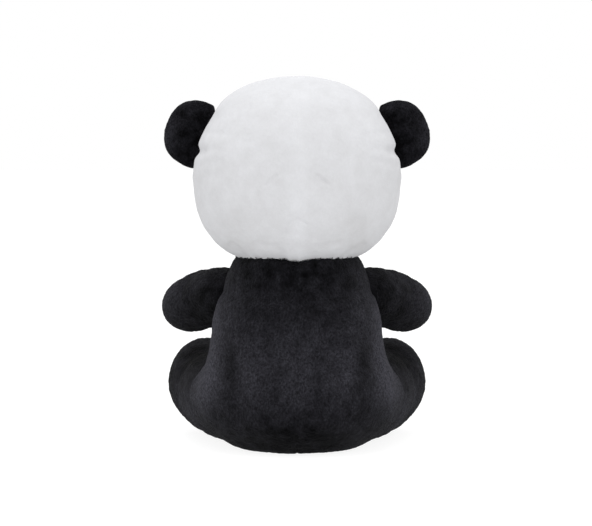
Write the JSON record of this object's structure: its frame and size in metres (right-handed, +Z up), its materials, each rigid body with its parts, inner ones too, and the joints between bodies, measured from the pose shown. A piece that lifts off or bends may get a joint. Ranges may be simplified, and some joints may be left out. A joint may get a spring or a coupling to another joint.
{
  "type": "plush panda",
  "caption": "Seated soft toy panda with a white head, black round ears, arms, legs and back, sewn from short-pile plush panels over fibre stuffing.",
  "frame": {"origin": "middle of the flat underside of the seat panel, on the surface the toy sits on", "axes": "+Z up; the toy faces -Y; its own left side is +X"},
  "size_m": [0.186, 0.1767, 0.25],
  "materials": {
    "white_plush": "matte",
    "black_plush": "matte",
    "eye_plastic": "gloss",
    "nose_plastic": "satin",
    "washer_plastic": "matte",
    "stuffing": "matte",
    "pellet_cloth": "matte",
    "black_thread": "matte"
  },
  "bodies": {
    "torso": {"back_panel_left": "black_plush", "back_panel_right": "black_plush", "belly_panel": "white_plush", "seat_panel": "black_plush", "body_stuffing": "stuffing", "pellet_bag": "pellet_cloth"},
    "neck": {"neck_stuffing": "stuffing"},
    "head": {"head_back_left": "white_plush", "head_back_right": "white_plush", "face_left": "white_plush", "face_right": "white_plush", "head_stuffing": "stuffing", "muzzle_panel": "white_plush", "muzzle_stuffing": "stuffing", "eye_patch_left": "black_plush", "eye_patch_right": "black_plush", "eye_left": "eye_plastic", "eye_right": "eye_plastic", "eye_washer_left": "washer_plastic", "eye_washer_right": "washer_plastic", "nose": "nose_plastic", "nose_washer": "washer_plastic", "mouth_stitch": "black_thread", "neck_stitch": "black_thread"},
    "ear_left": {"ear_left_front": "black_plush", "ear_left_back": "black_plush"},
    "arm_left": {"arm_left_front": "black_plush", "arm_left_back": "black_plush", "arm_left_stuffing": "stuffing"},
    "leg_left": {"leg_left_outer": "black_plush", "leg_left_inner": "black_plush", "sole_left": "black_plush", "leg_left_stuffing": "stuffing"},
    "ear_right": {"ear_right_front": "black_plush", "ear_right_back": "black_plush"},
    "arm_right": {"arm_right_front": "black_plush", "arm_right_back": "black_plush", "arm_right_stuffing": "stuffing"},
    "leg_right": {"leg_right_outer": "black_plush", "leg_right_inner": "black_plush", "sole_right": "black_plush", "leg_right_stuffing": "stuffing"}
  },
  "joints": [
    {"name": "head_nod", "type": "hinge", "parent": "torso", "child": "neck", "pos_m": [0, 0, 0.1285], "axis": [1, 0, 0], "range_deg": [-10, 10], "stiffness_Nm_per_rad": 3},
    {"name": "head_turn", "type": "hinge", "parent": "neck", "child": "head", "pos_m": [0, 0, 0.1285], "axis": [0, 0, 1], "range_deg": [-30, 30], "stiffness_Nm_per_rad": 1},
    {"name": "ear_left_fold", "type": "hinge", "parent": "head", "child": "ear_left", "pos_m": [0.0655, -0.006, 0.2105], "axis": [0.4179, 0, -0.9085], "range_deg": [-20, 25], "stiffness_Nm_per_rad": 0.01},
    {"name": "arm_left_raise", "type": "hinge", "parent": "torso", "child": "arm_left", "pos_m": [0.046, -0.016, 0.0965], "axis": [-0.76, -0.6499, 0], "range_deg": [-10, 35], "stiffness_Nm_per_rad": 0.3},
    {"name": "leg_left_spread", "type": "hinge", "parent": "torso", "child": "leg_left", "pos_m": [0.05, -0.03, 0.033], "axis": [0, 0, 1], "range_deg": [-6, 18], "stiffness_Nm_per_rad": 0.5},
    {"name": "ear_right_fold", "type": "hinge", "parent": "head", "child": "ear_right", "pos_m": [-0.0655, -0.006, 0.2105], "axis": [0.4179, 0, 0.9085], "range_deg": [-20, 25], "stiffness_Nm_per_rad": 0.01},
    {"name": "arm_right_raise", "type": "hinge", "parent": "torso", "child": "arm_right", "pos_m": [-0.046, -0.016, 0.0965], "axis": [-0.76, 0.6499, 0], "range_deg": [-10, 35], "stiffness_Nm_per_rad": 0.3},
    {"name": "leg_right_spread", "type": "hinge", "parent": "torso", "child": "leg_right", "pos_m": [-0.05, -0.03, 0.033], "axis": [0, 0, -1], "range_deg": [-6, 18], "stiffness_Nm_per_rad": 0.5}
  ]
}
